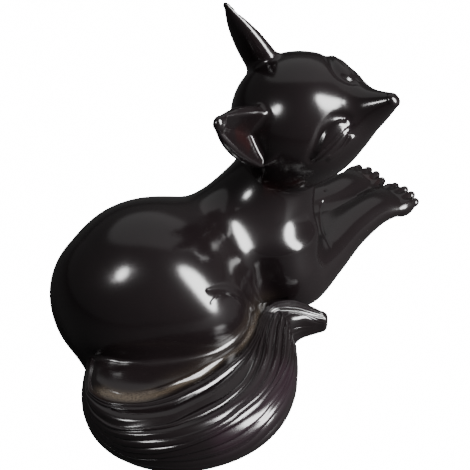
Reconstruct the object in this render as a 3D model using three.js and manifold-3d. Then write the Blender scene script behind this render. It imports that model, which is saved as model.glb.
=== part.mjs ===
import * as THREE from "three";
import { mergeVertices } from "three/addons/utils/BufferGeometryUtils.js";
import Module from "manifold-3d";

const wasm = await Module();
wasm.setup();

// Sizes are in millimetres. +X is the way the chest points, +Y the animal's left, +Z up.
// A limb runs through stations: its middle, its half width on either side of the middle,
// and its half height above and below it.

// Trunk and neck
const trunk = [
  { at: [-30, 20, 15], wide: 12, above: 12, below: 13 },
  { at: [-16, 20, 17], wide: 16.5, above: 18.5, below: 18 },
  { at: [-2, 16, 16], wide: 15, above: 16, below: 17 },
  { at: [9, 13.5, 16], wide: 14.8, above: 16.8, below: 17 },
  { at: [18, 10.4, 18], wide: 14, above: 15, below: 18 },
  { at: [25, 9, 19.5], wide: 10.5, above: 12, below: 15 },
];
const neck = [
  { at: [14, 12.2, 22.5], wide: 11.2, above: 10, below: 12 },
  { at: [20, 10.6, 31], wide: 10.8, above: 10, below: 12 },
  { at: [26.5, 9, 43], wide: 10, above: 9.5, below: 10 },
];

// Rump: the near and the far haunch, the flesh that spreads on the ground, the folded knees
const rump = [
  { at: [-17.4, 15.2, 17], size: [23.5, 22.2, 22.8], turn: -31 },
  { at: [-14.5, 22, 16], size: [21.5, 15.6, 18.6], turn: 20 },
  { at: [-20, 5.5, 5.5], size: [23.5, 18.5, 11.5], turn: -4 },
  { at: [-5.5, 2.8, 8.6], size: [10.5, 7, 9.6], turn: -31 },
  { at: [-2, 28.5, 8], size: [12, 7, 11], turn: 20 },
  { at: [9, 9.5, 8], size: [15, 12, 11], turn: -10 },
  { at: [-22, 3, 4], size: [20, 11.5, 8.6], turn: -8 },
  { at: [-5, 3, 4], size: [12, 8.4, 8.4], turn: 20 },
];

// Forelegs: right, then left, from the shoulder to the wrist, and the web that joins them
const forelegs = [
  [
    { at: [17, 1, 21], wide: 7, above: 8, below: 8 },
    { at: [16, -1.2, 13.5], wide: 6.8, above: 8, below: 7 },
    { at: [20, -2.2, 7.4], wide: 6, above: 7.5, below: 7.2 },
    { at: [31, 0.4, 5.6], wide: 5.6, above: 6, below: 5.6 },
    { at: [43, 3.2, 4.8], wide: 5, above: 5, below: 4.8 },
    { at: [54, 4.2, 4.2], wide: 4.6, above: 4, below: 4.2 },
    { at: [61, 3.6, 3.2], wide: 5, above: 2.4, below: 3.2 },
  ],
  [
    { at: [17, 20, 21], wide: 7, above: 8, below: 8 },
    { at: [17, 21, 13], wide: 7, above: 8, below: 7 },
    { at: [24, 20, 7.5], wide: 6.4, above: 7.5, below: 7.5 },
    { at: [36, 17, 5.6], wide: 6, above: 6, below: 5.6 },
    { at: [47, 14.6, 4.8], wide: 5.4, above: 5, below: 4.8 },
    { at: [55, 14.6, 4.2], wide: 4.8, above: 4, below: 4.2 },
    { at: [60.5, 14.8, 3.2], wide: 5, above: 2.4, below: 3.2 },
  ],
];
const between = [
  { at: [22, 9, 6], wide: 9, above: 8, below: 6 },
  { at: [40, 8.2, 5], wide: 7, above: 4.4, below: 5 },
  { at: [58, 8.6, 3], wide: 4, above: 2.4, below: 3 },
];
const paws = [
  { at: [63.6, 3.4], heading: -5 },
  { at: [62.6, 14.8], heading: 5 },
];
const toe = { count: 4, apart: 2.5, swept: 0.55, size: [3.2, 1.5, 2.3], claw: [1.1, 0.8, 0.9] };

// Tail: curls on the ground round the right flank, its locks of hair run from root to tip
const tail = [
  { at: [-28, 12, 8], wide: 8, above: 7, below: 8 },
  { at: [-34.5, 5.5, 8], wide: 9.5, above: 7.5, below: 8 },
  { at: [-40, -1, 8], wide: 10.5, above: 7.5, below: 8 },
  { at: [-40.5, -8, 8], wide: 11, above: 7.5, below: 8 },
  { at: [-36, -15, 8], wide: 11.2, above: 8, below: 8 },
  { at: [-28.5, -19.8, 8], wide: 11.4, above: 8.5, below: 8 },
  { at: [-20.5, -20.8, 8], wide: 11.4, above: 8.5, below: 8 },
  { at: [-13.5, -17.5, 8], wide: 11, above: 8.5, below: 8 },
  { at: [-6.8, -12, 7.5], wide: 9.8, above: 8, below: 7.5 },
  { at: [0, -9.8, 7.5], wide: 8.2, above: 7, below: 7.5 },
  { at: [5.5, -12, 7.5], wide: 6.2, above: 5.8, below: 7 },
  { at: [10.8, -15.5, 8], wide: 2.3, above: 2.4, below: 4 },
];
const locks = { count: 16, depth: 0.08, twist: 0.08 };

// Head, in its own frame: +X to the nose, +Y its left, +Z its crown
const head = { at: [26.9, 6, 53.1], heading: -62, lift: 17.8, lean: 23.6 };
const skull = { at: [-0.6, 0, 0], size: [16, 15.2, 15.3] };
const cheeks = { at: [-2.4, 0, -6], size: [13, 16.6, 8.8] };
const face = [
  { at: [0, 0, -1.5], wide: 14.8, above: 15, below: 11 },
  { at: [7, 0, -1.3], wide: 13.4, above: 13, below: 9.6 },
  { at: [12.5, 0, 0.4], wide: 10.2, above: 9.4, below: 8 },
  { at: [16.8, 0, 2.2], wide: 6.5, above: 6.2, below: 6.2 },
  { at: [20.6, 0, 3.8], wide: 3.9, above: 4, below: 4.2 },
  { at: [24.6, 0, 5.5], wide: 2.2, above: 2.2, below: 2.4 },
];
const lid = {
  at: [11.2, 8.4, 5.2],
  along: [10.6, -8.7, 1.5],
  out: [0.6, 0.62, 0.5],
  size: [7.6, 1.6, 3.6],
  around: 16,
  rows: 8,
};
const ear = {
  root: [-6.4, 9.2, 7],
  tip: { left: [-10.3, 15.4, 27.4], right: [-8, 15, 26.8] },
  open: { left: [0.8, 0.6, 0.05], right: [0.89, 0.34, 0.1] },
  across: 6.6,
  deep: 5,
  stations: [0, 0.35, 0.7, 1],
  tipSize: 0.13,
  taper: { across: 2, deep: 1.4 },
};
const earHollow = [
  { t: 0.14, shift: 0.45, wide: 0.4, deep: 0.45 },
  { t: 0.38, shift: 0.6, wide: 0.76, deep: 0.75 },
  { t: 0.66, shift: 0.6, wide: 0.8, deep: 0.8 },
  { t: 0.9, shift: 0.6, wide: 0.8, deep: 0.8 },
];

// How finely each limb is cut: rings along it, points round it, length of its two rounded ends
const sections = {
  trunk: { steps: 12, sides: 22, ends: [9, 5] },
  neck: { steps: 5, sides: 20, ends: [4, 4] },
  leg: { steps: 12, sides: 14, ends: [4, 3] },
  between: { steps: 6, sides: 10, ends: [4, 3] },
  tail: { steps: 26, sides: 3 * locks.count, ends: [6, 2], up: [0, 0, 1], twist: locks.twist },
  muzzle: { steps: 11, sides: 22, ends: [6, 1.6] },
  ear: { steps: 8, sides: 18, ends: [3, 1] },
  earHollow: { steps: 7, sides: 12, ends: [1, 0.5] },
};
const roundEnd = 3;
const grain = { least: 6, perSize: 0.56, tall: 0.6 };
const weld = 1e-4;
const table = { across: 400, deep: 100 };

function vector(a) {
  return new THREE.Vector3(...a);
}

// A closed body from a geometry, turned the right way out.
function solidFrom(geometry) {
  const bare = new THREE.BufferGeometry();
  bare.setAttribute("position", geometry.getAttribute("position"));
  bare.setIndex(geometry.index);
  const merged = mergeVertices(bare, weld);
  const vertProperties = new Float32Array(merged.attributes.position.array);
  const triVerts = new Uint32Array(merged.index.array);
  const body = new wasm.Manifold(new wasm.Mesh({ numProp: 3, vertProperties, triVerts }));
  if (body.volume() > 0) return body;
  return new wasm.Manifold(
    new wasm.Mesh({ numProp: 3, vertProperties, triVerts: triVerts.reverse() }),
  );
}

// A limb: rings of points round a smooth line, closed by a rounded end at each side.
function limb(stations, options) {
  const { steps, sides, ends, side = [0, 1, 0], up = null, twist = 0, shape = () => 1 } = options;
  const middle = new THREE.CatmullRomCurve3(stations.map((s) => vector(s.at)), false, "centripetal");
  const sizes = new THREE.CatmullRomCurve3(
    stations.map((s) => new THREE.Vector3(s.wide, s.above, s.below)),
    false,
    "catmullrom",
    0.5,
  );
  const points = [];
  const addRing = (t, push, shrink) => {
    const along = middle.getTangent(t);
    const beside = up ? vector(up).cross(along) : vector(side);
    const across = beside.addScaledVector(along, -beside.dot(along)).normalize();
    const above = new THREE.Vector3().crossVectors(along, across).normalize();
    const size = sizes.getPoint(t);
    const centre = middle.getPoint(t).addScaledVector(along, push);
    for (let i = 0; i < sides; i++) {
      const a = (i / sides + twist * t) * 2 * Math.PI;
      const tall = Math.sin(a) >= 0 ? size.y : size.z;
      const k = shrink * shape(i);
      const p = centre.clone().addScaledVector(across, Math.cos(a) * size.x * k);
      points.push(p.addScaledVector(above, Math.sin(a) * tall * k));
    }
  };
  const bend = (k) => ((k / roundEnd) * Math.PI) / 2;
  for (let k = roundEnd - 1; k > 0; k--) addRing(0, -ends[0] * Math.sin(bend(k)), Math.cos(bend(k)));
  for (let k = 0; k <= steps; k++) addRing(k / steps, 0, 1);
  for (let k = 1; k < roundEnd; k++) addRing(1, ends[1] * Math.sin(bend(k)), Math.cos(bend(k)));
  const rings = points.length / sides;
  const pole = (t, push) => middle.getPoint(t).addScaledVector(middle.getTangent(t), push);
  const first = points.push(pole(0, -ends[0])) - 1;
  const last = points.push(pole(1, ends[1])) - 1;
  const faces = [];
  for (let i = 0; i < sides; i++) {
    const j = (i + 1) % sides;
    for (let r = 0; r < rings - 1; r++) {
      const a = r * sides,
        b = a + sides;
      faces.push(a + i, a + j, b + j, a + i, b + j, b + i);
    }
    faces.push(first, j, i, last, (rings - 1) * sides + i, (rings - 1) * sides + j);
  }
  const geometry = new THREE.BufferGeometry().setFromPoints(points);
  geometry.setIndex(faces);
  return solidFrom(geometry);
}

// An egg shape with its own three half sizes, turned about the upright.
function egg({ at, size, turn = 0 }) {
  const around = grain.least + Math.round(grain.perSize * Math.max(...size));
  const geometry = new THREE.SphereGeometry(1, around, Math.round(around * grain.tall));
  geometry.scale(...size);
  geometry.rotateZ(THREE.MathUtils.degToRad(turn));
  geometry.translate(...at);
  return solidFrom(geometry);
}

function headFrame() {
  const rad = THREE.MathUtils.degToRad;
  const turn = new THREE.Euler(rad(head.lean), rad(-head.lift), rad(head.heading), "ZYX");
  const frame = new THREE.Matrix4().makeRotationFromEuler(turn);
  return frame.setPosition(...head.at);
}

const mirrored = (a, side) => vector([a[0], a[1] * side, a[2]]);

// One ear: a bulging cone, and the hollow that opens it to the front and the side.
function makeEar(side) {
  const root = mirrored(ear.root, side),
    tip = mirrored(side > 0 ? ear.tip.left : ear.tip.right, side),
    open = mirrored(side > 0 ? ear.open.left : ear.open.right, side);
  const along = tip.clone().sub(root).normalize();
  const across = new THREE.Vector3().crossVectors(open, along).normalize().toArray();
  const thin = 1 - ear.tipSize;
  const station = ({ t, shift = 0, wide = 1, deep = 1 }) => ({
    at: root.clone().lerp(tip, t).addScaledVector(open, ear.deep * (1 - thin * t) * shift).toArray(),
    wide: ear.across * (1 - thin * t ** ear.taper.across) * wide,
    above: ear.deep * (1 - thin * t ** ear.taper.deep) * deep,
    below: ear.deep * (1 - thin * t ** ear.taper.deep) * deep,
  });
  const outer = ear.stations.map((t) => station({ t }));
  return {
    shell: limb(outer, { ...sections.ear, side: across }),
    hollow: limb(earHollow.map(station), { ...sections.earHollow, side: across }),
  };
}

// One closed eye: a long lid laid on the slope of the face.
function makeLid(side) {
  const out = mirrored(lid.out, side).normalize();
  const tall = new THREE.Vector3().crossVectors(mirrored(lid.along, side), out).normalize();
  const along = new THREE.Vector3().crossVectors(out, tall);
  const frame = new THREE.Matrix4().makeBasis(along, out, tall).setPosition(mirrored(lid.at, side));
  const geometry = new THREE.SphereGeometry(1, lid.around, lid.rows).scale(...lid.size).applyMatrix4(frame);
  return solidFrom(geometry);
}

function makeHead() {
  const muzzle = limb(face, sections.muzzle);
  let solid = wasm.Manifold.union([egg(skull), egg(cheeks), muzzle]);
  for (const side of [1, -1]) {
    const { shell, hollow } = makeEar(side);
    solid = solid.add(makeLid(side)).add(shell).subtract(hollow);
  }
  return solid.transform(headFrame().toArray());
}

// Four toes side by side, each with a bead of a claw at its front.
function makeToes({ at, heading }) {
  const toes = [];
  for (let i = 0; i < toe.count; i++) {
    const place = i - (toe.count - 1) / 2;
    const ahead = -toe.swept * place * place;
    const y = place * toe.apart;
    toes.push(egg({ at: [ahead, y, toe.size[2]], size: toe.size }));
    toes.push(egg({ at: [ahead + toe.size[0], y, toe.size[2]], size: toe.claw }));
  }
  const frame = new THREE.Matrix4().makeRotationZ(THREE.MathUtils.degToRad(heading));
  frame.setPosition(at[0], at[1], 0);
  return wasm.Manifold.union(toes).transform(frame.toArray());
}

// The tail's section is fluted: each flute is one lock, and they wind slowly round it.
function makeTail() {
  const flute = (i) => 1 - (i % 3 ? 0 : locks.depth);
  return limb(tail, { ...sections.tail, shape: flute });
}

function makeFox() {
  const solids = [
    limb(trunk, sections.trunk),
    limb(neck, sections.neck),
    ...rump.map((mass) => egg(mass)),
    ...forelegs.map((leg) => limb(leg, sections.leg)),
    limb(between, sections.between),
    ...paws.map(makeToes),
    makeTail(),
    makeHead(),
  ];
  const ground = new THREE.BoxGeometry(table.across, table.across, table.deep);
  ground.translate(0, 0, -table.deep / 2);
  return wasm.Manifold.union(solids).subtract(solidFrom(ground));
}

// The part's origin is at the middle of its box, on the ground.
function meshOf(solid, name, material) {
  const { min, max } = solid.boundingBox();
  const { vertProperties, triVerts } = solid.getMesh();
  const geometry = new THREE.BufferGeometry();
  geometry.setAttribute("position", new THREE.BufferAttribute(vertProperties, 3));
  geometry.setIndex(new THREE.BufferAttribute(triVerts, 1));
  geometry.translate(-(min[0] + max[0]) / 2, -(min[1] + max[1]) / 2, -min[2]);
  const mesh = new THREE.Mesh(geometry, material);
  mesh.name = name;
  return mesh;
}

const glaze = new THREE.MeshStandardMaterial({ color: 0x1d1617, roughness: 0.2, metalness: 0 });
const part = new THREE.Group();
part.add(meshOf(makeFox(), "fox", glaze));

export default part;
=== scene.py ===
import math
import bpy
import numpy as np
from mathutils import Euler, Matrix, Vector


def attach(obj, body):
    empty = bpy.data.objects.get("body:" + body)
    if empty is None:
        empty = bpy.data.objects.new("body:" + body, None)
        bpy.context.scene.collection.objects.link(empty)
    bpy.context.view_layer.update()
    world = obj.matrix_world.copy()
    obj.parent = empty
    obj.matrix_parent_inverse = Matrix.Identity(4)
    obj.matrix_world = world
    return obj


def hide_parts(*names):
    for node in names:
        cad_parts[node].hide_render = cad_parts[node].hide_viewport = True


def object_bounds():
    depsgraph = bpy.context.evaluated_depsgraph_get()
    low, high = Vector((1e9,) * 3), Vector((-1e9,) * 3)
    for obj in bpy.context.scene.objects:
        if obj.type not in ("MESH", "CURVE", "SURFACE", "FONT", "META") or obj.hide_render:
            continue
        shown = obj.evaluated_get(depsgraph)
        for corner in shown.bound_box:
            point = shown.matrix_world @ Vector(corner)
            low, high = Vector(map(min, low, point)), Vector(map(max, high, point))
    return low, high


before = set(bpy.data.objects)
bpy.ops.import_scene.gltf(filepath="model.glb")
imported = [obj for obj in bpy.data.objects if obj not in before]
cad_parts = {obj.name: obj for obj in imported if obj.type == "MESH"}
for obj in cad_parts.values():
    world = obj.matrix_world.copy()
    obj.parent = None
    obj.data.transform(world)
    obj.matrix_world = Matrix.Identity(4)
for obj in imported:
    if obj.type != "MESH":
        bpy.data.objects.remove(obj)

# The dictionaries hold millimetres in the modeller's own axes: X is the way the chest points,
# Y the animal's left, Z up. middle is the point of the ground under the middle of the part's box.
mm = 0.001
middle = np.array([8.066, 3.039, 0.0])
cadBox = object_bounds()
nodeName = "fox"
farAway = 15.0      # a mass further off than this has no say in the form
slack = 0.03        # how far the figure stays inside the part's box


# Places and small maths

def toScene(points):
    return (np.asarray(points, float) - middle) * mm


def fromScene(points):
    return np.asarray(points, float) / mm + middle


def unit(v):
    v = np.asarray(v, float)
    return v / np.linalg.norm(v)


def withEnds(stations):
    # the rows of a curve, with one more at each end that carries it straight on
    rows = np.array(stations, float)
    return np.vstack([2 * rows[0] - rows[1], rows, 2 * rows[-1] - rows[-2]])


def smoothLine(stations, perSpan):
    # a curve through the stations, each row a point and what else it carries
    ends = withEnds(stations)
    out = []
    for i in range(1, len(ends) - 2):
        p0, p1, p2, p3 = ends[i - 1:i + 3]
        for s in range(perSpan):
            t = s / perSpan
            out.append(0.5 * (2 * p1 + (p2 - p0) * t + (2 * p0 - 5 * p1 + 4 * p2 - p3) * t * t
                              + (3 * p1 - p0 - 3 * p2 + p3) * t ** 3))
    out.append(ends[-2])
    return np.array(out)


# How far a point lies from a mass, less than nothing inside it. Masses are eggs and limbs.

def eggAxes(egg):
    # its three axes as columns, given or by a turn about the vertical
    if "axes" in egg:
        return egg["axes"]
    a = math.radians(egg.get("turn", 0))
    return np.array([[math.cos(a), -math.sin(a), 0], [math.sin(a), math.cos(a), 0], [0, 0, 1]])


def eggField(points, egg):
    q = (points - np.array(egg["at"], float)) @ eggAxes(egg)
    size = np.array(egg["size"], float)
    k0 = np.linalg.norm(q / size, axis=1)
    k1 = np.linalg.norm(q / size ** 2, axis=1)
    return k0 * (k0 - 1) / np.maximum(k1, 1e-9)


def limbRows(limb):
    return [list(place) + list(size) for place, size in limb["stations"]]


def acrossLimb(limb, along):
    # the way across a limb's section, level where the limb has an up, else towards its side
    if "up" in limb:
        across = np.cross(np.array(limb["up"], float), along)
    else:
        side = np.array(limb.get("side", (0, 1, 0)), float)
        across = side - along * (along @ side)[:, None]
    return across / np.linalg.norm(across, axis=1)[:, None]


def limbFrame(limb):
    # middle line, half sizes, and the two directions of its section at each point of the line
    line = smoothLine(limbRows(limb), limb.get("perSpan", 6))
    centre, size = line[:, :3], line[:, 3:]
    along = np.gradient(centre, axis=0)
    along /= np.linalg.norm(along, axis=1)[:, None]
    across = acrossLimb(limb, along)
    return centre, size, along, across, np.cross(along, across)


def curveAt(rows, t):
    # place, pace and bend of the curve that smoothLine draws, at t spans along it
    i = np.clip(t.astype(int), 0, len(rows) - 4)
    u = (t - i)[:, None]
    p0, p1, p2, p3 = rows[i], rows[i + 1], rows[i + 2], rows[i + 3]
    a, b, c = p2 - p0, 2 * p0 - 5 * p1 + 4 * p2 - p3, 3 * p1 - p0 - 3 * p2 + p3
    place = 0.5 * (2 * p1 + a * u + b * u * u + c * u ** 3)
    return place, 0.5 * (a + 2 * b * u + 3 * c * u * u), b + 3 * c * u


def alongLimb(p, limb):
    # how many spans along the limb each point lies, and its place and way there in the limb's section
    rows = withEnds(limbRows(limb))
    spans = len(rows) - 3
    places = curveAt(rows, np.linspace(0, spans, spans * 5 + 1))[0][:, :3]
    t = ((places ** 2).sum(1) - 2 * p @ places.T).argmin(1) / 5
    for i in range(4):
        at, pace, bend = (part[:, :3] for part in curveAt(rows, t))
        off, speed = p - at, (pace * pace).sum(1)
        brake = np.maximum(speed - (off * bend).sum(1), 0.3 * speed)
        t = np.clip(t + (off * pace).sum(1) / brake, 0, spans)
    at, pace, bend = curveAt(rows, t)
    d, size, along = p - at[:, :3], at[:, 3:], pace[:, :3]
    along = along / np.linalg.norm(along, axis=1)[:, None]
    across = acrossLimb(limb, along)
    local = np.stack([(d * across).sum(1), (d * np.cross(along, across)).sum(1), (d * along).sum(1)])
    return t / spans, local, size, np.linalg.norm(d, axis=1)


def limbField(points, limb):
    rows = np.array(limbRows(limb), float)
    largest = rows[:, 3:].max()
    low, high = rows[:, :3].min(0) - largest - farAway, rows[:, :3].max(0) + largest + farAway
    close = ((points > low) & (points < high)).all(1)
    out = np.full(len(points), farAway, float)
    if not close.any():
        return out
    t, (a, b, c), size, gap = alongLimb(points[close], limb)
    rise = np.clip(b / largest * 3, -1, 1)
    rise = 0.5 + 0.25 * rise * (3 - rise * rise)
    tall = size[:, 1] * rise + size[:, 2] * (1 - rise)
    end = np.where(c > 0, limb["ends"][1], limb["ends"][0])
    n = limb.get("square", 2)
    k = (np.abs(a / size[:, 0]) ** n + np.abs(b / tall) ** n + np.abs(c / end) ** n) ** (1 / n)
    out[close] = gap * (1 - 1 / np.maximum(k, 1e-6))
    return out


def softField(points, limb):
    # a limb as a close row of balls that melt together, smooth also inside its bend
    rows = withEnds(limbRows(limb))
    spans = len(rows) - 3
    balls = curveAt(rows, np.linspace(0, spans, spans * 5 + 1))[0]
    gap = np.linalg.norm(points[:, None] - balls[None, :, :3], axis=2) - balls[:, 3]
    least = gap.min(1)
    total = np.exp((least[:, None] - gap) / limb["melt"]).sum(1)
    step = np.linalg.norm(np.diff(balls[:, :3], axis=0), axis=1).mean()
    usual = math.sqrt(2 * math.pi * balls[:, 3].mean() * limb["melt"]) / step
    return least - limb["melt"] * np.log(total / usual)


def slopeOf(field, points, value):
    step = 0.02
    slope = np.empty_like(points)
    for axis in range(3):
        moved = points.copy()
        moved[:, axis] += step
        slope[:, axis] = (field(moved) - value) / step
    return slope


def blend(a, b, reach):
    # the nearer of two, with a fillet where they meet
    h = np.maximum(reach - np.abs(a - b), 0) / reach
    return np.minimum(a, b) - h * h * reach / 4


def cut(a, b, reach):
    return -blend(-a, b, reach)


def strokeField(points, stroke):
    # depth of a tool mark drawn along a line: a groove, or a ridge when its depth is below nothing
    line = smoothLine(stroke["line"], 5)
    low, high = line.min(0) - 3 * stroke["width"], line.max(0) + 3 * stroke["width"]
    near = ((points > low) & (points < high)).all(1)
    out = np.zeros(len(points))
    if not near.any():
        return out
    p = points[near]
    best = np.full(len(p), 1e18)
    where = np.zeros(len(p))
    for i in range(len(line) - 1):
        step = line[i + 1] - line[i]
        rel = p - line[i]
        u = np.clip(rel @ step / (step @ step), 0, 1)
        gap = ((rel - u[:, None] * step) ** 2).sum(1)
        closer = gap < best
        best[closer] = gap[closer]
        where[closer] = (i + u[closer]) / (len(line) - 1)
    fade = np.minimum(where / stroke.get("fadeIn", 0.12), (1 - where) / stroke.get("fadeOut", 0.12))
    out[near] = stroke["depth"] * np.clip(fade, 0, 1) * np.exp(-best / stroke["width"] ** 2)
    return out


# Body

body = {
    "trunk": {"ends": (8, 5), "perSpan": 16, "stations": [
        ((-27, 22.4, 15.9), (11, 11, 16)),
        ((-16, 19.6, 16.4), (14.4, 15.6, 18)),
        ((-2, 16, 17.1), (13.2, 14.4, 18)),
        ((9, 13.1, 17.6), (12.5, 14.4, 18)),
        ((18, 10.8, 18.1), (13.2, 14.2, 18)),
        ((25, 9, 18.4), (10.3, 12.4, 16)),
    ]},
    "neck": {"ends": (4, 4), "reach": 9, "perSpan": 16, "stations": [
        ((14, 12.2, 22.5), (10.6, 9.6, 11.6)),
        ((20, 10.6, 31), (10.2, 9.4, 11.4)),
        ((26.5, 9, 43), (9.8, 9.2, 9.8)),
    ]},
    "rump": [
        {"at": (-17.1, 15.2, 17), "size": (22, 20.8, 21.5), "turn": -31, "reach": 11},
        {"at": (-14.5, 21.2, 15.5), "size": (19.6, 13, 16), "turn": 20, "reach": 8},
        {"at": (-20, 5.5, 5), "size": (20.6, 15.6, 9.6), "turn": -4, "reach": 6},
        {"at": (-5.5, 2.8, 8.6), "size": (10.3, 6.8, 9.4), "turn": -31, "reach": 3},
        {"at": (-2, 28.5, 8), "size": (12, 7, 11), "turn": 20, "reach": 7},
        {"at": (9, 9.5, 8), "size": (14.6, 11.6, 10.6), "turn": -10, "reach": 5},
    ],
    # the ridge of the thigh, from the haunch down to the knee
    "thigh": {"ends": (9, 6), "reach": 7, "perSpan": 12, "melt": 1.2, "stations": [
        ((-12.6, 12.2, 26), (7.6, 7.6, 7.6)),
        ((-14.5, 7.6, 25), (9.7, 9.7, 9.7)),
        ((-15.1, 4.8, 23.1), (10.2, 10.2, 10.2)),
        ((-14.6, 2.2, 20.1), (10.1, 10.1, 10.1)),
        ((-12.7, 0.5, 16.4), (9.7, 9.7, 9.7)),
        ((-9.4, 0.4, 11.8), (8.7, 8.7, 8.7)),
    ]},
    # the smooth shelf between the haunch and the tail's first lock
    "ledge": {"ends": (2, 2), "up": (0, 0, 1), "square": 4.5, "perSpan": 8, "reach": 1.4, "stations": [
        ((-41.4, 7, 9.4), (2.6, 3.6, 6)),
        ((-41.4, 3.6, 10.4), (3.4, 4.2, 6)),
        ((-40, 0.6, 10.8), (4.2, 4.4, 6)),
        ((-36, -2, 10.8), (5.6, 4.4, 6)),
        ((-30, -5, 10.8), (5.8, 4.4, 6)),
        ((-24.8, -6.4, 10.8), (5.8, 4.4, 6)),
        ((-19.5, -6.6, 10.8), (5.8, 4.4, 6)),
        ((-14.2, -6.8, 10.8), (5.8, 4.4, 6)),
        ((-8.5, -6, 10.8), (5.6, 4.4, 6)),
        ((-4.5, -4.4, 10.4), (4.6, 4.2, 6)),
        ((0, -2.2, 9.6), (3.4, 4, 6)),
    ]},
}

forelegs = {
    "reach": 5,
    "right": {"ends": (4, 3), "square": 2.2, "stations": [
        ((17, 1, 21), (7, 8, 8)),
        ((16, -1.2, 13.5), (6.8, 8, 7)),
        ((20, -2.2, 7.4), (6, 7.5, 7.2)),
        ((31, 0.4, 5.6), (5.6, 6, 5.6)),
        ((43, 3.2, 4.8), (5, 5, 4.8)),
        ((54, 4.2, 4.2), (4.6, 4, 4.2)),
        ((61, 3.6, 3.2), (5, 2.4, 3.2)),
    ]},
    "left": {"ends": (4, 3), "square": 2.2, "stations": [
        ((17, 20, 21), (7, 8, 8)),
        ((17, 21, 13), (7, 8, 7)),
        ((24, 20, 7.5), (6.4, 7.5, 7.5)),
        ((36, 17, 5.6), (6, 6, 5.6)),
        ((47, 14.6, 4.8), (5.4, 5, 4.8)),
        ((55, 14.6, 4.2), (4.8, 4, 4.2)),
        ((60.5, 14.8, 3.2), (5, 2.4, 3.2)),
    ]},
    "between": {"ends": (4, 3), "reach": 2, "stations": [
        ((22, 9, 6), (9, 8, 6)),
        ((40, 8.2, 5), (7, 4.4, 5)),
        ((58, 8.6, 3), (4, 2.4, 3)),
    ]},
}

tail = {
    "ends": (6, 2), "up": (0, 0, 1), "square": 3, "perSpan": 9, "reach": 1, "core": 0.93,
    "stations": [
        ((-28, 12, 8), (8, 7, 8)),
        ((-34.5, 5.5, 8), (9.5, 7.5, 8)),
        ((-40, -1, 8), (10.5, 7.5, 8)),
        ((-40.5, -8, 8), (11, 7.5, 8)),
        ((-36, -15, 8), (11.2, 8, 8)),
        ((-28.7, -19.5, 8), (11, 8.2, 8)),
        ((-21, -20.2, 8), (11.2, 8.2, 8)),
        ((-13.8, -17.8, 8), (10.8, 8.2, 8)),
        ((-6.8, -13, 7.5), (9.8, 7.8, 7.5)),
        ((-1.2, -10, 7.5), (7.9, 7.2, 7.5)),
        ((3.8, -9.2, 7.6), (5.8, 7.2, 7.2)),
        ((8.2, -11.2, 8), (4.2, 5.4, 5.4)),
        ((12.1, -15.7, 8), (1.9, 3.1, 3.3)),
    ],
    "perLock": 8, "hidden": 4, "plain": 14, "sunk": 0.85, "buried": 0.5, "crown": 2.2,
    "depth": 0.17, "shallow": 0.12, "deepest": 0.7, "narrowest": 3.2,
    "fade": ((0, 0.78, 0.95), (1, 1, 0.35)),
    "tip": (58, 76, 94, 111, 127, 142, 157, 172, 187, 203), "bottom": 285,
    # the grooves between its locks, from its root to its tip, as photo pixels
    "grooves": [
        [(88, 390), (92, 394), (98, 398), (106, 401), (120, 402.5), (135, 402.5), (150, 400.5),
         (160, 397.5), (170, 394), (180, 389.5), (190, 384), (200, 378.5), (210, 372.5), (220, 367),
         (230, 361), (240, 354), (248, 345), (254, 335), (258, 324), (262, 312)],
        [(96, 400), (105, 404), (118, 405.5), (135, 406), (150, 404.5), (160, 402.5), (170, 399.5),
         (180, 395), (190, 389.5), (200, 384), (210, 378), (220, 371.5), (230, 364.5), (240, 357),
         (250, 346.5), (257, 335), (261, 323), (266, 311)],
        [(98, 404), (108, 408), (120, 410.5), (135, 411), (150, 409), (160, 407), (170, 404),
         (180, 399.5), (190, 394.5), (200, 389.5), (210, 383.5), (220, 376.5), (230, 369), (240, 361),
         (250, 350.5), (258, 338), (262, 325), (269, 311)],
        [(90, 411), (98, 418.5), (108, 425), (120, 428), (135, 428), (155, 425.5), (165, 424),
         (175, 421), (183, 416.5), (190, 412.5), (200, 407), (210, 402), (220, 397.5), (230, 391),
         (240, 382.5), (247, 372.5), (252, 362), (256, 350), (260, 338), (265, 325), (272, 311)],
        [(87, 411), (94, 418.5), (103, 426), (112, 430), (130, 431.5), (150, 430.5), (170, 427.5),
         (185, 422.5), (200, 417), (210, 411.5), (220, 406), (230, 398.5), (240, 390), (248, 381),
         (254, 371), (258, 362), (261, 350), (264, 337), (268, 324), (275, 311)],
        [(86, 413), (92, 423), (100, 431), (110, 437), (122, 441), (135, 442), (150, 441.5), (165, 440),
         (180, 437), (195, 432), (210, 425.5), (225, 417.5), (236, 408.5), (245, 402.5), (255, 392),
         (262, 382), (267, 371), (270.5, 361), (273, 350), (275, 336), (277, 323), (280, 312),
         (286, 304)],
        [(90, 423), (97, 432), (106, 440), (118, 446.5), (130, 449), (150, 449.5), (175, 446),
         (195, 440), (210, 433.5), (225, 425), (240, 412.5), (250, 404.5), (260, 396), (268, 387),
         (275, 375), (279.5, 362), (282, 348), (283.5, 335), (285, 322), (289, 312), (295, 306)],
        [(93, 430), (101, 439.5), (112, 448), (125, 453.5), (145, 456), (170, 453), (190, 447),
         (205, 441), (215, 436.5), (225, 431), (235, 425), (245, 417.5), (252, 412), (258, 407),
         (266, 398), (274, 388), (281, 378), (286, 368), (290, 358), (292, 348)],
        [(100, 441), (112, 451), (125, 457), (145, 460.5), (170, 459), (195, 454.5), (215, 449.5),
         (235, 441), (250, 431), (262, 420), (272, 408), (281, 396), (288, 383), (292, 372), (294, 360)],
        [(200, 461), (220, 456.5), (235, 451), (250, 442.5), (262, 432), (272, 421), (281, 409),
         (288, 397), (293, 384), (296, 370), (297, 357)],
    ],
}


def tailCore():
    core = dict(tail)
    core["stations"] = [(at, tuple(np.array(size) * tail["core"])) for at, size in tail["stations"]]
    return core


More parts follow.
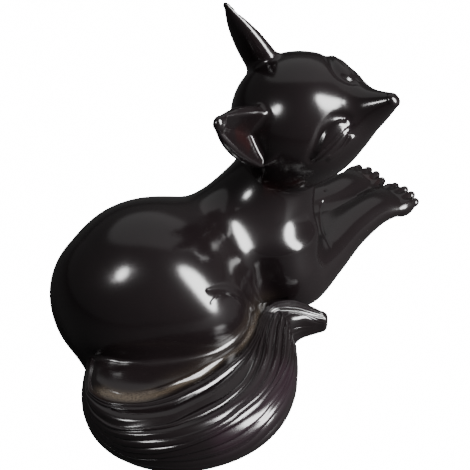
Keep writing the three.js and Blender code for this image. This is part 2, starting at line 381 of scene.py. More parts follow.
def readGrooves():
    # each groove's turn round the tail's section, along the tail, from its pixels cast onto the tail
    out = []
    for pixels, last in zip(tail["grooves"], tail["tip"]):
        p = castPixels(pixels, lambda q: limbField(q, tail))
        p = p[np.abs(limbField(p, tail)) < 0.3]
        t, (a, b, c), size, gap = alongLimb(p, tail)
        turn = np.degrees(np.arctan2(b / np.where(b > 0, size[:, 1], size[:, 2]), a / size[:, 0])) % 360
        order = np.argsort(t)
        out.append((np.append(t[order], 1.0), np.append(turn[order], last)))
    return out


def lockRing(grooves, t, size):
    # the turn and height of each point of the section: crowned locks between grooves, and a plain
    # part that stays under the skin, towards the body
    turns = np.array([np.interp(t, *groove) for groove in grooves])
    for i in range(1, len(turns)):
        turns[i] = max(turns[i], turns[i - 1] + tail["narrowest"])
    bottom = max(tail["bottom"], turns[-1] + 20)
    turns = np.append(turns, np.linspace(turns[-1], bottom, tail["hidden"] + 1)[1:])
    out = []
    for i in range(len(turns) - 1):
        width = turns[i + 1] - turns[i]
        deep = min(tail["shallow"] + tail["depth"] * math.radians(width) * size.mean(), tail["deepest"])
        deep = deep / size.mean() * np.interp(t, *tail["fade"])
        for k in range(tail["perLock"]):
            x = 0.5 - 0.5 * math.cos(math.pi * k / tail["perLock"])
            height = tail["sunk"] if i + k == 0 else 1 - deep * abs(2 * x - 1) ** tail["crown"]
            out.append((turns[i] + x * width, height))
    for k in range(tail["plain"]):
        x = k / tail["plain"]
        height = tail["sunk"] - (tail["sunk"] - tail["buried"]) * math.sin(math.pi * x)
        out.append((turns[-1] + x * (turns[0] + 360 - turns[-1]), height))
    return np.array(out)


def makeTail():
    # a tube along the tail's middle line, each of its rings shaped as a ring of locks
    centre, size, along, across, above = limbFrame(tail)
    grooves = readGrooves()
    sides = (len(grooves) - 1 + tail["hidden"]) * tail["perLock"] + tail["plain"]
    rings = tubeRings(tail, len(centre), 1, (0.95, 0.7, 0.35), (0.35, 0.6, 0.8, 0.95))
    obj = addTube(sides, len(rings), "foxTail")

    def shape(v):
        out = np.empty_like(v)
        number = np.round(np.arctan2(v[:, 1], v[:, 0]) / (2 * math.pi) * sides).astype(int) % sides
        for ring in range(len(rings)):
            i, push, shrink = rings[ring]
            on = np.abs(v[:, 2] - ring) < 0.5
            profile = lockRing(grooves, i / (len(centre) - 1), size[i])[number[on]]
            a = np.radians(profile[:, 0:1])
            n = tail["square"]
            reach = profile[:, 1:2] / (np.abs(np.cos(a)) ** n + np.abs(np.sin(a)) ** n) ** (1 / n)
            c, s = np.cos(a) * reach, np.sin(a) * reach
            tall = np.where(s > 0, size[i, 1], size[i, 2])
            out[on] = (centre[i] + along[i] * push + c * across[i] * size[i, 0] * shrink
                       + s * above[i] * tall * shrink)
        out[:, 2] = np.maximum(out[:, 2], 0)
        return toScene(out)

    placeVertices(obj, shape)
    faceOutwards(obj)
    return obj


paws = {
    "places": [((63.6, 3.4), -5), ((62.6, 14.8), 5)],
    "count": 4, "apart": 2.6, "swept": 0.5,
    "toe": (3.2, 1.5, 2.5), "claw": (1.35, 1.15, 1.25),
    "toeReach": 1, "clawReach": 0.35,
}


def pawEggs():
    # toes side by side on each paw, and the claw at the front of each
    toes, claws = [], []
    for (x, y), heading in paws["places"]:
        a = math.radians(heading)
        for i in range(paws["count"]):
            place = i - (paws["count"] - 1) / 2
            ahead, beside = -paws["swept"] * place ** 2, place * paws["apart"]
            for reach, size, eggs in ((0, paws["toe"], toes), (paws["toe"][0], paws["claw"], claws)):
                u = ahead + reach
                at = (x + u * math.cos(a) - beside * math.sin(a), y + u * math.sin(a) + beside * math.cos(a),
                      paws["toe"][2])
                eggs.append({"at": at, "size": size, "turn": heading})
    return toes, claws


# Head, in its own axes: X to the nose, Y its left, Z its crown

head = {
    "at": (26.9, 6, 53.1), "heading": -62, "lift": 17.8, "lean": 23.6,
    "neckReach": 2.5,
    "skull": {"at": (-0.9, 0, 0.2), "size": (16.6, 15.6, 15.7)},
    "cheeks": {"at": (-2.4, 0, -6.8), "size": (12.4, 15.6, 9), "reach": 4},
    "muzzle": {"ends": (6, 1.6), "reach": 4, "perSpan": 14, "stations": [
        ((-5, 0, -1.6), (13, 13.4, 11)),
        ((0, 0, -1.5), (13, 13.4, 11)),
        ((7, 0, -0.9), (12.8, 12.3, 10.5)),
        ((12.5, 0, 0.4), (9.8, 9.2, 8.2)),
        ((16.8, 0, 2), (6.4, 6.3, 6.2)),
        ((20.6, 0, 3.7), (3.8, 3.9, 4.7)),
        ((25, 0, 5.7), (1.8, 1.7, 2.5)),
    ]},
}

ear = {
    "root": {1: (-7.5, 9.4, 6.8), -1: (-5.7, 9.6, 7.3)}, "square": {1: 2.3, -1: 2},
    "across": {1: 5.5, -1: 7.1}, "deep": {1: 3.3, -1: 4.8}, "tipSize": {1: 0.2, -1: 0.26},
    "taper": (2.6, 1.8), "stations": (0, 0.25, 0.5, 0.75, 1), "reach": 2, "rim": 0.9,
    "tip": {1: (-10.8, 15.4, 26.9), -1: (-8, 15.2, 26.9)},
    "open": {1: (0.3, 0.95, 0.05), -1: (0.89, 0.34, 0.1)},
    "valley": (0, 0.93),      # where the hollow's valley starts and ends along the ear
    "valleyDepth": 0.3, "lip": 0.84, "mouth": 0.5,
}


def headTurn():
    e = Euler((math.radians(head["lean"]), math.radians(-head["lift"]), math.radians(head["heading"])), "XYZ")
    return np.array(e.to_matrix())


def toHead(points):
    return (points - np.array(head["at"], float)) @ headTurn()


def fromHead(points):
    return np.asarray(points, float) @ headTurn().T + np.array(head["at"], float)


def earParts(side):
    # the ear's outside as a limb, and its hollow as a wedge between two slopes and two ends
    turn = np.array([1, side, 1])
    root, tip, opens = ear["root"][side] * turn, ear["tip"][side] * turn, unit(ear["open"][side] * turn)
    along = unit(tip - root)
    across = unit(np.cross(opens, along))
    opens = np.cross(along, across)
    thin = 1 - ear["tipSize"][side]
    wide = lambda t: ear["across"][side] * (1 - thin * t ** ear["taper"][0])
    deep = lambda t: ear["deep"][side] * (1 - thin * t ** ear["taper"][1])
    stations = [(root + (tip - root) * t, (wide(t), deep(t), deep(t))) for t in ear["stations"]]
    outside = {"ends": (3, 1.6), "side": across, "square": ear["square"][side], "stations": stations}
    t0, t1 = ear["valley"]
    low = root + (tip - root) * t0 - opens * deep(t0) * ear["valleyDepth"]
    high = root + (tip - root) * t1 - opens * deep(t1) * ear["valleyDepth"]
    planes = []
    for sign in (1, -1):
        edges = [root + (tip - root) * t + across * sign * wide(t) * ear["lip"]
                 + opens * deep(t) * ear["mouth"] for t in (t0, t1)]
        normal = unit(np.cross(high - low, edges[0] - low))
        if normal @ (root + opens * 3 - low) > 0:
            normal = -normal
        planes.append((low, normal))
    planes.append((low, -along))
    planes.append((high, along))
    return outside, planes


def wedgeField(points, planes):
    return np.max([(points - np.array(at)) @ np.array(normal) for at, normal in planes], axis=0)


def headField(points, ears):
    q = toHead(points)
    d = eggField(q, head["skull"])
    d = blend(d, eggField(q, head["cheeks"]), head["cheeks"]["reach"])
    d = blend(d, limbField(q, head["muzzle"]), head["muzzle"]["reach"])
    for ball in eyeballs:
        d = blend(d, eggField(q, ball), ball["reach"])
    for side in (1, -1) if ears else ():
        outside, planes = earParts(side)
        shell = cut(limbField(q, outside), wedgeField(q, planes), ear["rim"])
        d = blend(d, shell, ear["reach"])
    return d


def foxField(points, fine=True):
    d = limbField(points, body["trunk"])
    for egg in body["rump"]:
        d = blend(d, eggField(points, egg), egg["reach"])
    d = blend(d, limbField(points, body["neck"]), body["neck"]["reach"])
    d = blend(d, softField(points, body["thigh"]), body["thigh"]["reach"])
    d = blend(d, limbField(points, body["ledge"]), body["ledge"]["reach"])
    legs = np.minimum(limbField(points, forelegs["right"]), limbField(points, forelegs["left"]))
    if fine:
        toes, claws = pawEggs()
        near = points[:, 0] > 56
        if near.any():
            p, part = points[near], legs[near]
            for reach, eggs in ((paws["toeReach"], toes), (paws["clawReach"], claws)):
                for egg in eggs:
                    part = blend(part, eggField(p, egg), reach)
            legs[near] = part
    legs = blend(legs, limbField(points, forelegs["between"]), forelegs["between"]["reach"])
    d = blend(d, legs, forelegs["reach"])
    d = blend(d, headField(points, fine), head["neckReach"])
    if fine:
        for stroke in drawn:
            d = d + strokeField(points, stroke)
    d = blend(d, limbField(points, tailCore()), tail["reach"])
    return cut(d, points[:, 2], 0.8)


# Tool marks. Each is drawn along a line of photo pixels, which is cast onto the form.

drawn = []         # the marks on the form, once they are laid
bands = []         # the stains
eyeballs = []      # the low eggs under the lids

# The camera stands where the photo was taken from. A light's place is its way from the target in the
# camera's own axes (right, up, back), with its size and distance in metres and its power in watts.
view = {
    "turn": -45, "height": 45, "away": 500, "target": (10, 12, 20), "angle": 13.4, "pixels": 470,
    "keyAt": (0.74, 0.12, 0.6), "keySize": (0.22, 0.64), "keyPower": 16, "keyAway": 0.5,
    "spotAt": (-0.52, 0.25, 0.82), "spotSize": (0.028, 0.046), "spotPower": 0.15, "spotAway": 0.185,
    "panelAt": (0, 0.95, 0.05), "panelSize": (1.1, 0.8), "panelPower": 0.95, "panelAway": 0.7,
    "sky": 0.11, "floor": 0.01, "floorSeen": 16,
}


def cameraAxes():
    a, e = math.radians(view["turn"]), math.radians(view["height"])
    back = np.array([math.sin(a) * math.cos(e), -math.cos(a) * math.cos(e), math.sin(e)])
    right = unit(np.cross(-back, (0, 0, 1)))
    return right, np.cross(right, -back), back


def castPixels(pixels, field):
    right, up, back = cameraAxes()
    half, spread = view["pixels"] / 2, math.tan(math.radians(view["angle"] / 2))
    eye = np.array(view["target"], float) + back * view["away"]
    rays = np.array([unit(-back + right * spread * (x - half) / half + up * spread * (half - y) / half)
                     for x, y in pixels])
    gone = np.full(len(rays), view["away"] - 90.0)
    for i in range(70):
        gone += 0.8 * field(eye + rays * gone[:, None])
    return eye + rays * gone[:, None]


# Each eye is a low egg under its closed lids, its length along the slit between them.
eye = {"outer": (311, 162), "inner": (354, 123), "middle": (332, 141), "size": (6.8, 3.6, 2.6), "sunk": 1.75,
       "reach": 0.4}

eyeMarks = [
    {"name": "socket", "depth": 0.75, "width": 0.95, "pixels": [
        (353, 121), (347, 117), (340, 116), (332, 118), (325.5, 124), (321, 131), (318, 139), (315, 148),
        (311.5, 156), (307, 163)]},
    {"name": "slit", "depth": 0.75, "width": 0.36, "pixels": [
        (355, 123.5), (349, 128.2), (344, 132.5), (338.2, 139), (333.6, 144), (328.2, 149.5), (323, 154.5),
        (317.5, 159), (311, 163.5)]},
    {"name": "upperLash", "depth": -0.22, "width": 0.3, "pixels": [
        (345, 128), (340, 133), (335, 138.5), (330, 144), (325, 149)]},
    {"name": "lashLine", "depth": 0.32, "width": 0.26, "pixels": [
        (350, 129), (347.3, 135), (344.5, 140.5), (340, 146.5), (333.6, 152), (328, 155.5)]},
    {"name": "lowerLid", "depth": -0.4, "width": 0.9, "pixels": [
        (353, 134), (350, 141), (343, 149), (335, 155), (326, 160)]},
    {"name": "tailLine", "depth": 0.25, "width": 0.25, "pixels": [
        (321, 143), (317, 151), (313, 158), (309, 164)]},
]
headLines = [
    {"name": "jawStreakHigh", "depth": 0.25, "width": 0.35, "pixels": [
        (262, 180), (275, 181), (290, 180), (303, 176)]},
    {"name": "jawStreakLow", "depth": 0.25, "width": 0.35, "pixels": [
        (264, 187), (277, 188), (292, 186), (305, 181)]},
]
bodyLines = [
    {"name": "kneeCrease", "depth": 0.9, "width": 1.0, "fadeIn": 0.3, "pixels": [
        (206, 292), (214, 290), (224, 289), (235, 292), (244, 299), (250, 308), (251, 318), (249, 328)]},
    {"name": "kneeLine", "depth": 0.3, "width": 0.3, "pixels": [
        (205, 290), (213, 289), (223, 289), (234, 292), (243, 299)]},
    {"name": "kneeWrinkle", "depth": 0.3, "width": 0.3, "pixels": [(210, 304), (215, 298), (223, 291)]},
    {"name": "chestCrease", "depth": 0.22, "width": 0.4, "fadeOut": 0.4, "pixels": [
        (330, 178), (326, 190), (322.5, 203), (321, 215), (323, 230), (329, 243), (333, 251)]},
    {"name": "shelfRim", "depth": -0.35, "width": 0.45, "pixels": [
        (106, 387), (112, 390.5), (119, 393), (130, 393.5), (142, 392.5), (153, 390.5), (166, 386.5),
        (178, 381.5), (190, 376.5), (200, 371), (210, 364.5), (222, 357.5), (232, 350.5), (241, 343),
        (247, 335), (251, 325)]},
]


# Stains, as bands drawn along lines of photo pixels in the same way
stains = {
    "dust": [
        {"depth": 1, "width": 0.85, "pixels": [
            (91, 386), (99, 391), (110, 395), (122, 398), (135, 398.5), (150, 396.5), (165, 391.5),
            (180, 385), (192, 379), (205, 371.5), (218, 363), (230, 355.5)]},
        {"depth": 0.6, "width": 0.7, "pixels": [
            (222, 360.5), (232, 354), (240, 348), (247, 339), (252, 328), (256, 317), (262, 306),
            (270, 298)]},
        {"depth": 0.7, "width": 1.3, "pixels": [(96, 389), (110, 394), (125, 396.5), (142, 396), (160, 391)]},
        {"depth": 0.14, "width": 2.2, "pixels": [
            (150, 386), (180, 376), (208, 360), (232, 344), (247, 326), (254, 310), (266, 298), (285, 292)]},
    ],
    "red": [
        {"depth": 0.25, "width": 2, "pixels": [(261, 184), (275, 185), (290, 184), (306, 179)]},
        {"depth": 0.2, "width": 2.2, "pixels": [(234, 131), (244, 138), (251, 149)]},
        {"depth": 0.08, "width": 1.2, "pixels": [(362, 172), (372, 178), (381, 182)]},
    ],
    "plum": [
        {"depth": 0.2, "width": 5, "pixels": [(205, 445), (235, 433), (262, 412), (282, 386), (292, 362)]},
    ],
}


def setEyes():
    # the right eye from its pixels, the left one mirrored from it
    outer, inner, centre = castPixels([eye[name] for name in ("outer", "inner", "middle")], foxField)
    normal = toHead(fromHead([0, 0, 0]) + unit(slopeOf(foxField, centre[None], foxField(centre[None]))[0]))
    outer, inner, centre = (toHead(p) for p in (outer, inner, centre))
    long = inner - outer
    long = unit(long - normal * (long @ normal))
    axes = np.stack([long, np.cross(normal, long), normal], 1)
    for side in (1, -1):
        turn = np.array([1, side, 1])
        eyeballs.append({"at": (centre - normal * eye["sunk"]) * turn, "size": eye["size"],
                         "axes": axes * turn[:, None], "reach": eye["reach"]})


def drawMarks():
    # the lines are laid on the bare form once, and the right eye's are mirrored to the left
    out = eyeMarks + headLines + bodyLines
    out += [dict(band, kind=kind) for kind in stains for band in stains[kind]]
    places = castPixels([pixel for mark in out for pixel in mark["pixels"]], foxField)
    ends = np.cumsum([len(mark["pixels"]) for mark in out])
    out = [dict(mark, line=places[end - len(mark["pixels"]):end]) for mark, end in zip(out, ends)]
    for mark in list(out[:len(eyeMarks)]):
        out.append(dict(mark, line=fromHead(toHead(mark["line"]) * np.array([1, -1, 1]))))
    bands.extend(mark for mark in out if "kind" in mark)
    return [mark for mark in out if "kind" not in mark]


# Making the blank: each mass as a rough shell, all melted into one skin

def clearSelection():
    if bpy.context.object and bpy.context.object.mode != "OBJECT":
        bpy.ops.object.mode_set(mode="OBJECT")
    bpy.ops.object.select_all(action="DESELECT")


def readAll(items, name, width=1, kind=float):
    # one value, or one row of them, for each vertex, edge, corner or face of a mesh
    out = np.empty(len(items) * width, dtype=kind)
    items.foreach_get(name, out)
    return out.reshape(-1, width) if width > 1 else out


def placeVertices(obj, move):
    mesh = obj.data
    co = move(readAll(mesh.vertices, "co", 3))
    mesh.vertices.foreach_set("co", np.ascontiguousarray(co).ravel())
    mesh.update()


def faceOutwards(obj):
    activate(obj)
    bpy.ops.object.mode_set(mode="EDIT")
    bpy.ops.mesh.select_all(action="SELECT")
    bpy.ops.mesh.normals_make_consistent(inside=False)
    bpy.ops.object.mode_set(mode="OBJECT")


def addEgg(egg, name, place=lambda p: p):
    clearSelection()
    bpy.ops.mesh.primitive_uv_sphere_add(segments=28, ring_count=16, radius=1)
    obj = bpy.context.object
    obj.name = name
    placeVertices(obj, lambda v: toScene(place(v * np.array(egg["size"]) @ eggAxes(egg).T
                                               + np.array(egg["at"], float))))
    return obj


def tubeRings(limb, count, skip, first, last):
    # for each ring of a limb: its point of the middle line, how far past that it goes, and its size
    rings = [(0, -limb["ends"][0] * s, math.sqrt(1 - s * s)) for s in first]
    rings += [(i, 0, 1) for i in range(0, count, skip)]
    return rings + [(count - 1, limb["ends"][1] * s, math.sqrt(1 - s * s)) for s in last]


def addTube(sides, rings, name):
    # a ring of points is filled and extruded, one unit up for each ring
    clearSelection()
    bpy.ops.mesh.primitive_circle_add(vertices=sides, radius=1, fill_type="NOTHING")
    obj = bpy.context.object
    obj.name = name
    bpy.ops.object.mode_set(mode="EDIT")
    bpy.ops.mesh.select_all(action="SELECT")
    bpy.ops.mesh.edge_face_add()
    for i in range(rings - 1):
        bpy.ops.mesh.extrude_region_move(TRANSFORM_OT_translate={"value": (0, 0, 1)})
    bpy.ops.object.mode_set(mode="OBJECT")
    return obj


def addLimb(limb, name, place=lambda p: p):
    centre, size, along, across, above = limbFrame(limb)
    rings = tubeRings(limb, len(centre), 2, (0.95, 0.6), (0.6, 0.95))
    obj = addTube(24, len(rings), name)

    def shape(v):
        out = np.empty_like(v)
        for ring in range(len(rings)):
            i, push, shrink = rings[ring]
            on = np.abs(v[:, 2] - ring) < 0.5
            c, s = v[on, 0:1], v[on, 1:2]
            tall = np.where(s > 0, size[i, 1], size[i, 2])
            out[on] = (centre[i] + along[i] * push + c * across[i] * size[i, 0] * shrink
                       + s * above[i] * tall * shrink)
        return toScene(place(out))

    placeVertices(obj, shape)
    faceOutwards(obj)
    return obj


def addWedge(planes, name, place):
    # the hollow of an ear: a three-sided bar, one edge on the valley and two faces on the wedge's slopes
    low, high = np.array(planes[0][0]), np.array(planes[3][0])
    along = unit(high - low)
    slopes = [unit(np.cross(normal, along)) for _, normal in planes[:2]]
    middleWay = unit(-(np.array(planes[0][1]) + np.array(planes[1][1])))
    slopes = [s if s @ middleWay > 0 else -s for s in slopes]
    clearSelection()
    bpy.ops.mesh.primitive_circle_add(vertices=3, radius=1, fill_type="NGON")
    obj = bpy.context.object
    obj.name = name
    bpy.ops.object.mode_set(mode="EDIT")
    bpy.ops.mesh.select_all(action="SELECT")
    bpy.ops.mesh.extrude_region_move(TRANSFORM_OT_translate={"value": (0, 0, 1)})
    bpy.ops.object.mode_set(mode="OBJECT")

    def shape(v):
        corners = np.array([[0, 1], [-math.sqrt(3) / 2, -0.5], [math.sqrt(3) / 2, -0.5]])
        corner = np.argmax(v[:, :2] @ corners.T, axis=1)
        base = np.where(v[:, 2:3] > 0.5, high, low)
        reach = np.array([np.zeros(3), slopes[0] * 14, slopes[1] * 14])
        return toScene(place(base + reach[corner]))

    placeVertices(obj, shape)
    faceOutwards(obj)
    return obj


def joinAll(objects, name):
    clearSelection()
    for obj in objects:
        obj.select_set(True)
    bpy.context.view_layer.objects.active = objects[0]
    bpy.ops.object.join()
    obj = bpy.context.object
    obj.name = name
    obj.data.name = name
    return obj


def activate(obj):
    clearSelection()
    obj.select_set(True)
    bpy.context.view_layer.objects.active = obj


skinWork = {
    "firstVoxel": 1.2, "voxel": 0.63,                      # millimetres between the skin's points
    "blank": (5, 0.8), "whole": (3, 0.5), "fine": (3, 0.4, 0.2),   # rounds, longest step and ease
    "finer": ((0.9, 2.6), (0.45, 2.2)),                    # the widest marks refined, and how far around
    "pawsFrom": 58.5,                                      # toes are refined past this X
}


def melt(obj, voxel):
    # one even skin over all the shells
    activate(obj)
    mod = obj.modifiers.new("skin", "REMESH")
    mod.mode = "VOXEL"
    mod.voxel_size = voxel * mm
    bpy.ops.object.modifier_apply(modifier=mod.name)


def combine(obj, other, way):
    activate(obj)
    mod = obj.modifiers.new(way.lower(), "BOOLEAN")
    mod.operation = way
    mod.solver = "MANIFOLD"
    mod.object = other
    bpy.ops.object.modifier_apply(modifier=mod.name)
    bpy.data.objects.remove(other)


def nearMarks(points, widest, spread):
    # whether each point lies by a mark no wider than this
    out = np.zeros(len(points), bool)
    for mark in drawn:
        if mark["width"] <= widest:
            reach = dict(mark, depth=1.0, width=mark["width"] * spread, fadeIn=0.01, fadeOut=0.01)
            out |= strokeField(points, reach) > 0.3
    return out


def refine(obj):
    # finer faces where there are marks, toes and rims
    for widest, spread in skinWork["finer"]:
        centres = fromScene(readAll(obj.data.polygons, "center", 3))
        pick = nearMarks(centres, widest, spread)
        if widest > 0.5:
            pick |= centres[:, 0] > skinWork["pawsFrom"]
        activate(obj)
        bpy.ops.object.mode_set(mode="EDIT")
        bpy.ops.mesh.select_mode(type="FACE")
        bpy.ops.mesh.select_all(action="DESELECT")
        bpy.ops.object.mode_set(mode="OBJECT")
        obj.data.polygons.foreach_set("select", pick)
        bpy.ops.object.mode_set(mode="EDIT")
        bpy.ops.mesh.subdivide(number_cuts=1)
        bpy.ops.object.mode_set(mode="OBJECT")
        print("refined", pick.sum(), "to", len(obj.data.polygons))


def settle(obj, field, rounds, limit, ease=0.35):
    # the skin is eased onto the smoothly joined form, and its points are kept evenly spread
    mesh = obj.data
    count = len(mesh.vertices)
    p = fromScene(readAll(mesh.vertices, "co", 3))
    edges = readAll(mesh.edges, "vertices", 2, np.int64)
    share = np.bincount(edges.ravel(), minlength=count)[:, None]
    for i in range(rounds):
        value = field(p)
        slope = slopeOf(field, p, value)
        steep = np.linalg.norm(slope, axis=1)[:, None]
        normal = slope / np.maximum(steep, 1e-6)
        p -= normal * np.clip(value[:, None] / np.maximum(steep, 0.3), -limit, limit)
        if i < rounds - 1:
            other = p[edges[:, ::-1].ravel()]
            total = np.stack([np.bincount(edges.ravel(), weights=other[:, axis], minlength=count)
                              for axis in range(3)], 1)
            drift = total / np.maximum(share, 1) - p
            drift -= normal * (drift * normal).sum(1)[:, None]
            p += ease * drift
    mesh.vertices.foreach_set("co", toScene(p).ravel())
    mesh.update()


def makeSkin():
    shells = [addLimb(body["trunk"], "trunk"), addLimb(body["neck"], "neck")]
    shells += [addEgg(egg, "rump") for egg in body["rump"]]
    shells += [addLimb(body[name], name) for name in ("thigh", "ledge")]
    shells += [addLimb(forelegs[name], name + "Foreleg") for name in ("right", "left", "between")]
    shells += [addEgg(head["skull"], "skull", fromHead), addEgg(head["cheeks"], "cheeks", fromHead)]
    shells += [addLimb(head["muzzle"], "muzzle", fromHead)]
    shells += [addLimb(tailCore(), "tailCore")]
    skin = joinAll(shells, "foxSkin")
    melt(skin, skinWork["firstVoxel"])
    clearSelection()
    bpy.ops.mesh.primitive_cube_add(size=0.4, location=(0, 0, -0.2))
    bpy.ops.object.transform_apply(location=True)
    combine(skin, bpy.context.object, "DIFFERENCE")
    settle(skin, lambda p: foxField(p, False), *skinWork["blank"])
    print("blank settled", len(skin.data.vertices))
    for side in (1, -1):
        outside, planes = earParts(side)
        shell = addLimb(outside, "ear", fromHead)
        combine(shell, addWedge(planes, "earHollow", fromHead), "DIFFERENCE")
        combine(skin, shell, "UNION")
    toes, claws = pawEggs()
    for egg in toes + claws:
        combine(skin, addEgg(egg, "toe"), "UNION")
    melt(skin, skinWork["voxel"])
    print("skin", len(skin.data.vertices))
    return skin


# Finish: very dark tea-polished clay

glaze = {
    "base": (0.0026, 0.0018, 0.0022), "cloud": (0.0052, 0.0036, 0.0038), "rough": 0.15, "roughCloud": 0.22,
    "red": (0.02, 0.003, 0.0025), "dust": (0.05, 0.038, 0.026), "plum": (0.02, 0.007, 0.015),
    "dull": 0.22, "pit": 0.004, "specular": 0.58,
}


def addNode(tree, kind, **values):
    node = tree.nodes.new(kind)
    for name, value in values.items():
        if hasattr(node, name):
            setattr(node, name, value)
        else:
            node.inputs[name].default_value = value
    return node


def makeSpeckle():
    # tiny pits and grains in the fired clay, and broad clouds of its tone
    group = bpy.data.node_groups.new("clayGrain", "ShaderNodeTree")
    io = group.interface
    for name, start in (("grainScale", 7000.0), ("cloudScale", 60.0)):
        io.new_socket(name, in_out="INPUT", socket_type="NodeSocketFloat").default_value = start
    for name in ("pits", "clouds", "grains"):
        io.new_socket(name, in_out="OUTPUT", socket_type="NodeSocketFloat")
    inlet, outlet = addNode(group, "NodeGroupInput"), addNode(group, "NodeGroupOutput")
    coords = addNode(group, "ShaderNodeTexCoord")
    cloud = addNode(group, "ShaderNodeTexNoise", Detail=4.0, Roughness=0.55)
    grain = addNode(group, "ShaderNodeTexNoise", Detail=2.0, Roughness=0.5)
    pits = addNode(group, "ShaderNodeMapRange")
    for name, value in (("From Min", 0.28), ("From Max", 0.42), ("To Min", 0.0), ("To Max", 1.0)):
        pits.inputs[name].default_value = value
    grains = addNode(group, "ShaderNodeMapRange")
    for name, value in (("From Min", 0.42), ("From Max", 0.6), ("To Min", 0.25), ("To Max", 1.0)):
        grains.inputs[name].default_value = value
    link = group.links.new
    link(grain.outputs["Fac"], grains.inputs["Value"])
    link(grains.outputs["Result"], outlet.inputs["grains"])
    link(coords.outputs["Object"], cloud.inputs["Vector"])
    link(coords.outputs["Object"], grain.inputs["Vector"])
    link(inlet.outputs["grainScale"], grain.inputs["Scale"])
    link(inlet.outputs["cloudScale"], cloud.inputs["Scale"])
    link(grain.outputs["Fac"], pits.inputs["Value"])
    link(pits.outputs["Result"], outlet.inputs["pits"])
    link(cloud.outputs["Fac"], outlet.inputs["clouds"])
    return group


def mixColour(tree, factor, a, b):
    node = tree.nodes.new("ShaderNodeMix")
    node.data_type = "RGBA"
    for socket, value in ((node.inputs[0], factor), (node.inputs[6], a), (node.inputs[7], b)):
        if isinstance(value, bpy.types.NodeSocket):
            tree.links.new(value, socket)
        else:
            socket.default_value = value if isinstance(value, float) else (*value, 1)
    return node.outputs[2]


def makeGlaze(grain):
    mat = bpy.data.materials.new("teaPolishedClay")
    mat.use_nodes = True
    tree = mat.node_tree
    shader = tree.nodes["Principled BSDF"]
    group = addNode(tree, "ShaderNodeGroup")
    group.node_tree = grain
    marksOf = {name: addNode(tree, "ShaderNodeAttribute", attribute_name=name) for name in stains}
    colour = mixColour(tree, group.outputs["clouds"], glaze["base"], glaze["cloud"])
    dust = addNode(tree, "ShaderNodeMath", operation="MULTIPLY")
    tree.links.new(marksOf["dust"].outputs["Fac"], dust.inputs[0])
    tree.links.new(group.outputs["grains"], dust.inputs[1])
    for name in ("plum", "red"):
        colour = mixColour(tree, marksOf[name].outputs["Fac"], colour, glaze[name])
    colour = mixColour(tree, dust.outputs[0], colour, glaze["dust"])
    tree.links.new(colour, shader.inputs["Base Color"])
    rough = addNode(tree, "ShaderNodeMapRange")
    rough.inputs["To Min"].default_value = glaze["rough"]
    rough.inputs["To Max"].default_value = glaze["roughCloud"]
    tree.links.new(group.outputs["clouds"], rough.inputs["Value"])
    dusty = addNode(tree, "ShaderNodeMath", operation="MULTIPLY_ADD")
    dusty.inputs[1].default_value = glaze["dull"]
    tree.links.new(dust.outputs[0], dusty.inputs[0])
    tree.links.new(rough.outputs["Result"], dusty.inputs[2])
    tree.links.new(dusty.outputs[0], shader.inputs["Roughness"])
    bump = addNode(tree, "ShaderNodeBump", Strength=0.25, Distance=glaze["pit"] * mm)
    tree.links.new(group.outputs["pits"], bump.inputs["Height"])
    tree.links.new(bump.outputs["Normal"], shader.inputs["Normal"])
    shader.inputs["Specular IOR Level"].default_value = glaze["specular"]
    return mat


def setMark(obj, name, values):
    mesh = obj.data
    layer = mesh.attributes.get(name) or mesh.attributes.new(name, "FLOAT", "POINT")
    layer.data.foreach_set("value", np.ascontiguousarray(values, dtype=np.float32))


def paint(obj, p):
    # golden dust by the tail, red clay in the recesses and a plum tint on the tail
    for kind in stains:
        clear = np.ones(len(p))
        for band in bands:
            if band["kind"] == kind:
                clear *= 1 - np.clip(strokeField(p, band), 0, 1)
        setMark(obj, kind, 1 - clear)


def fitInside(obj):
    # the last tenths of a millimetre that the fillets add are taken off, so it stays in the box
    def move(co):
        low, high = np.array(cadBox[0]) + slack * mm, np.array(cadBox[1]) - slack * mm
        first, last = co.min(0), co.max(0)
        low[2] = first[2]
        low, high = np.maximum(first, low), np.minimum(last, high)
        print("fitted by", np.round((last - first - high + low) / mm, 3), "mm")
        return low + (co - first) * (high - low) / (last - first)
    placeVertices(obj, move)


def smoothNormals(obj):
    # the skin takes its shading from the form it was eased onto, the tail from its own faces
    mesh = obj.data
    count = len(mesh.vertices)
    p = fromScene(readAll(mesh.vertices, "co", 3))
    loopVertex = readAll(mesh.loops, "vertex_index", 1, np.int64)
    faceOf = np.repeat(np.arange(len(mesh.polygons)), readAll(mesh.polygons, "loop_total", 1, np.int64))
    isTail = readAll(mesh.polygons, "material_index", 1, np.int32) == 1
    print("tail faces", isTail.sum())
    mesh.polygons.foreach_set("material_index", np.zeros(len(mesh.polygons), np.int32))
    mesh.materials.pop(index=1)
    faceNormal = readAll(mesh.polygons, "normal", 3)
    area = readAll(mesh.polygons, "area")
    onTail = isTail[faceOf]
    weighted = faceNormal[faceOf] * area[faceOf][:, None] * onTail[:, None]
    tailNormal = np.stack([np.bincount(loopVertex, weights=weighted[:, axis], minlength=count)
                           for axis in range(3)], 1)
    value = foxField(p)
    skinNormal = slopeOf(foxField, p, value)
    for rows in (tailNormal, skinNormal):
        rows /= np.maximum(np.linalg.norm(rows, axis=1), 1e-12)[:, None]
    out = np.where(onTail[:, None], tailNormal[loopVertex], skinNormal[loopVertex])
    under = faceNormal[faceOf][:, 2] < -0.99
    out[under] = faceNormal[faceOf][under]
    mesh.normals_split_custom_set(out.tolist())
    return p


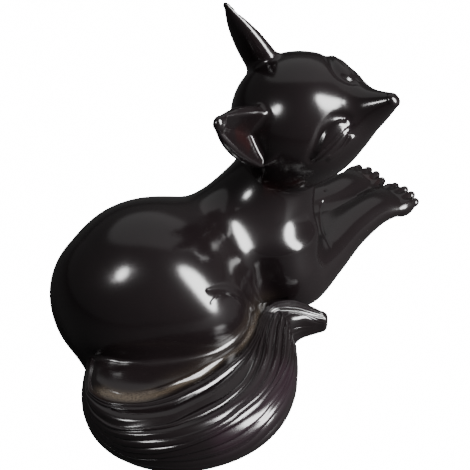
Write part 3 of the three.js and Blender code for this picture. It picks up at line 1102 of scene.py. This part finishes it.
def makeFox():
    clay = makeGlaze(makeSpeckle())
    skin = makeSkin()
    settle(skin, foxField, *skinWork["whole"])
    setEyes()
    drawn.extend(drawMarks())
    refine(skin)
    settle(skin, foxField, *skinWork["fine"])
    print("skin settled", len(skin.data.vertices))
    tailPiece = makeTail()
    tailPiece.data.materials.append(clay)
    tailPiece.data.materials.append(clay)
    tailPiece.data.polygons.foreach_set("material_index", np.ones(len(tailPiece.data.polygons), np.int32))
    skin.data.materials.clear()
    skin.data.materials.append(clay)
    skin.data.materials.append(clay)
    combine(skin, tailPiece, "UNION")
    activate(skin)
    bpy.ops.object.shade_smooth()
    p = smoothNormals(skin)
    paint(skin, p)
    fitInside(skin)
    skin.name = "foxFigure"
    print("fox", len(skin.data.polygons), "faces")
    return skin


# Camera, lights and floor

def makeCamera():
    right, up, back = cameraAxes()
    place = Matrix([[*(right[i], up[i], back[i]), v] for i, v in
                    enumerate(toScene(view["target"]) + back * view["away"] * mm)] + [[0, 0, 0, 1]])
    data = bpy.data.cameras.new("photoView")
    data.angle = math.radians(view["angle"])
    data.clip_start = 0.01
    camera = bpy.data.objects.new("photoView", data)
    camera.matrix_world = place
    bpy.context.scene.collection.objects.link(camera)
    bpy.context.scene.camera = camera


def makeLight(name, direction, away, size, power):
    way = unit(np.array(direction) @ np.array(cameraAxes()))
    data = bpy.data.lights.new(name, "AREA")
    data.shape = "ELLIPSE"
    data.size, data.size_y = size
    data.energy = power
    light = bpy.data.objects.new(name, data)
    light.location = toScene(view["target"]) + way * away
    light.rotation_euler = Vector(way).to_track_quat("Z", "Y").to_euler()
    bpy.context.scene.collection.objects.link(light)


def makeStage():
    clearSelection()
    bpy.ops.mesh.primitive_plane_add(size=6, location=(0, 0, 0))
    floor = bpy.context.object
    floor.name = "paleFloor"
    mat = bpy.data.materials.new("paleFloor")
    mat.use_nodes = True
    shader = mat.node_tree.nodes["Principled BSDF"]
    shader.inputs["Base Color"].default_value = (view["floor"],) * 3 + (1,)
    shader.inputs["Roughness"].default_value = 0.9
    shader.inputs["Emission Color"].default_value = (1, 1, 1, 1)
    path = mat.node_tree.nodes.new("ShaderNodeLightPath")
    seen = mat.node_tree.nodes.new("ShaderNodeMath")
    seen.operation = "MULTIPLY"
    seen.inputs[1].default_value = view["floorSeen"]
    mat.node_tree.links.new(path.outputs["Is Camera Ray"], seen.inputs[0])
    mat.node_tree.links.new(seen.outputs[0], shader.inputs["Emission Strength"])
    floor.data.materials.append(mat)
    for name in ("key", "spot", "panel"):
        makeLight(name + "Box", *(view[name + part] for part in ("At", "Away", "Size", "Power")))
    world = bpy.data.worlds.new("studio")
    world.use_nodes = True
    world.node_tree.nodes["Background"].inputs["Color"].default_value = (1, 1, 1, 1)
    world.node_tree.nodes["Background"].inputs["Strength"].default_value = view["sky"]
    bpy.context.scene.world = world


fox = makeFox()
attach(fox, "root")
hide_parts(nodeName)
makeCamera()
makeStage()
